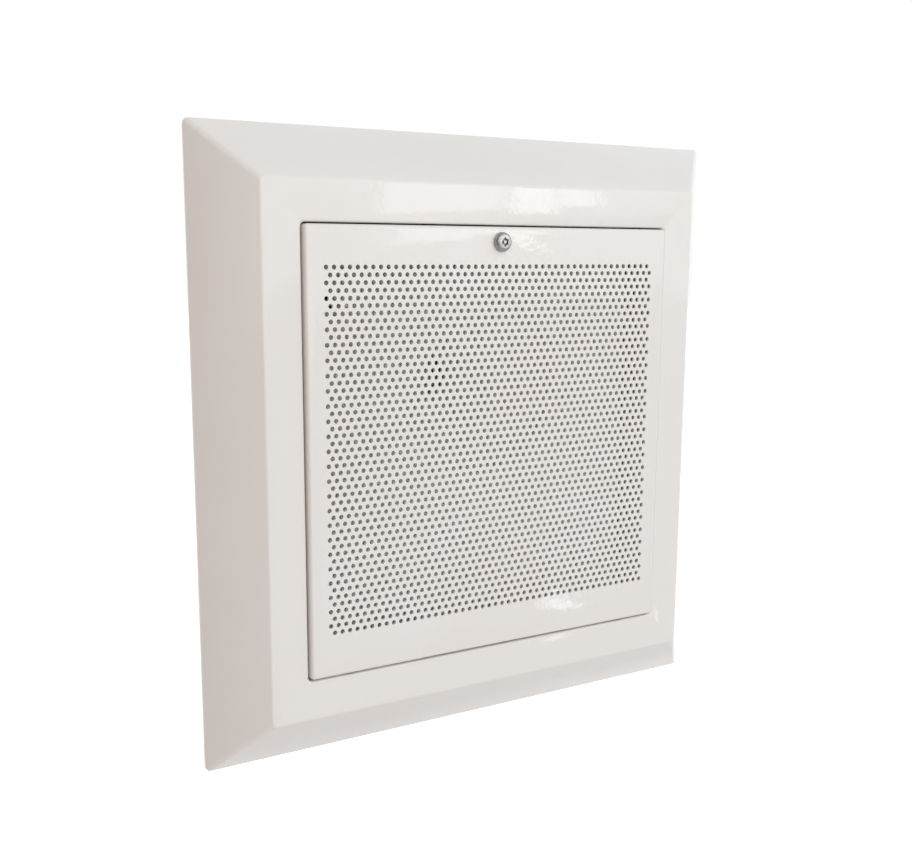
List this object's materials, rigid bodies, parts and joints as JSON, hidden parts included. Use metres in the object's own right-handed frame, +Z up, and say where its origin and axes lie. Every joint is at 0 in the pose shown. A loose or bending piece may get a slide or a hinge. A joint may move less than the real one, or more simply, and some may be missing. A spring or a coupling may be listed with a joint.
{
  "type": "alarm siren",
  "caption": "Flush wall-mounted alarm siren with a square bevelled frame, a hinged perforated door held by one screw, and a horn speaker and battery inside.",
  "frame": {"origin": "centre of the recess box's rear face, which lies against the back of the wall recess", "axes": "+Y into the wall, +Z up, +X to the right as seen from the front; the door faces -Y"},
  "size_m": [0.3, 0.1097, 0.3],
  "materials": {
    "white_paint": "semi-gloss powder coat",
    "galvanised_steel": "galvanised",
    "stainless_steel": "satin",
    "inner_sheet": "galvanised",
    "foam_rubber": "matt",
    "black_plastic": "moulded",
    "horn_plastic": "moulded",
    "ferrite": "sintered",
    "copper": "wound wire",
    "diaphragm_film": "pressed film",
    "battery_case": "moulded",
    "brass": "tinned",
    "board_laminate": "solder mask",
    "nylon": "moulded",
    "green_plastic": "moulded",
    "can_aluminium": "drawn",
    "black_anodised": "anodised",
    "red_plastic": "moulded",
    "grey_insulation": "extruded",
    "black_insulation": "extruded"
  },
  "bodies": {
    "housing": {"wall_box": "galvanised_steel", "front_frame": "white_paint", "door_gasket": "foam_rubber", "lock_pillar": "stainless_steel", "inner_cover": "inner_sheet", "inner_cover_screw_1": "stainless_steel", "inner_cover_screw_2": "stainless_steel", "inner_cover_screw_3": "stainless_steel", "inner_cover_screw_4": "stainless_steel", "frame_screw_1": "stainless_steel", "frame_screw_2": "stainless_steel", "frame_screw_3": "stainless_steel", "frame_screw_4": "stainless_steel", "horn_flare": "horn_plastic", "throat_adapter": "black_plastic", "driver_cap": "black_plastic", "pole_piece": "galvanised_steel", "magnet_ring": "ferrite", "top_plate": "galvanised_steel", "speaker_bracket": "galvanised_steel", "speaker_bracket_screw_1": "stainless_steel", "speaker_bracket_screw_2": "stainless_steel", "horn_screw_1": "stainless_steel", "horn_screw_2": "stainless_steel", "battery": "battery_case", "battery_terminal_pos": "brass", "battery_terminal_neg": "brass", "battery_strap": "galvanised_steel", "battery_strap_screw_1": "stainless_steel", "battery_strap_screw_2": "stainless_steel", "circuit_board": "board_laminate", "board_post_1": "nylon", "board_post_2": "nylon", "board_post_3": "nylon", "board_post_4": "nylon", "relay": "black_plastic", "heat_sink": "black_anodised", "terminal_block": "green_plastic", "capacitor_1": "can_aluminium", "capacitor_2": "can_aluminium", "tamper_bracket": "galvanised_steel", "tamper_switch": "black_plastic", "wall_tamper_switch": "black_plastic", "cable_grommet": "foam_rubber", "lead_battery_red": "red_plastic", "lead_battery_black": "black_insulation", "lead_speaker": "grey_insulation", "lead_tamper": "grey_insulation"},
    "door": {"grille_door": "white_paint", "hinge_bracket_left": "galvanised_steel", "hinge_bracket_right": "galvanised_steel", "hinge_pin_left": "stainless_steel", "hinge_pin_right": "stainless_steel"},
    "screw_carrier": {"screw_retainer": "stainless_steel"},
    "cover_screw": {"cover_screw": "stainless_steel"},
    "diaphragm": {"diaphragm": "diaphragm_film", "voice_coil": "copper"},
    "tamper_plunger": {"tamper_plunger": "nylon"},
    "wall_tamper_plunger": {"wall_tamper_plunger": "nylon"}
  },
  "joints": [
    {"name": "door_hinge", "type": "hinge", "parent": "housing", "child": "door", "pos_m": [0, -0.103, -0.1018], "axis": [1, 0, 0], "range_deg": [0, 90]},
    {"name": "screw_slide", "type": "slide", "parent": "door", "child": "screw_carrier", "axis": [0, -1, 0], "range_m": [0, 0.0076]},
    {"name": "screw_spin", "type": "hinge", "parent": "screw_carrier", "child": "cover_screw", "pos_m": [0, -0.1068, 0.0981], "axis": [0, -1, 0], "range_deg": [0, 3420]},
    {"name": "diaphragm_travel", "type": "slide", "parent": "housing", "child": "diaphragm", "axis": [0, -1, 0], "range_m": [-0.0003, 0.0003], "stiffness_N_per_m": 2000},
    {"name": "tamper_travel", "type": "slide", "parent": "housing", "child": "tamper_plunger", "axis": [0, -1, 0], "range_m": [0, 0.003]},
    {"name": "wall_tamper_travel", "type": "slide", "parent": "housing", "child": "wall_tamper_plunger", "axis": [0, 1, 0], "range_m": [0, 0.003], "stiffness_N_per_m": 100}
  ],
  "couplings": [
    {"joint": "screw_spin", "follows": "screw_slide", "rad_per_m": 7854},
    {"joint": "tamper_travel", "follows": "door_hinge", "m_per_rad": 0.0019}
  ]
}
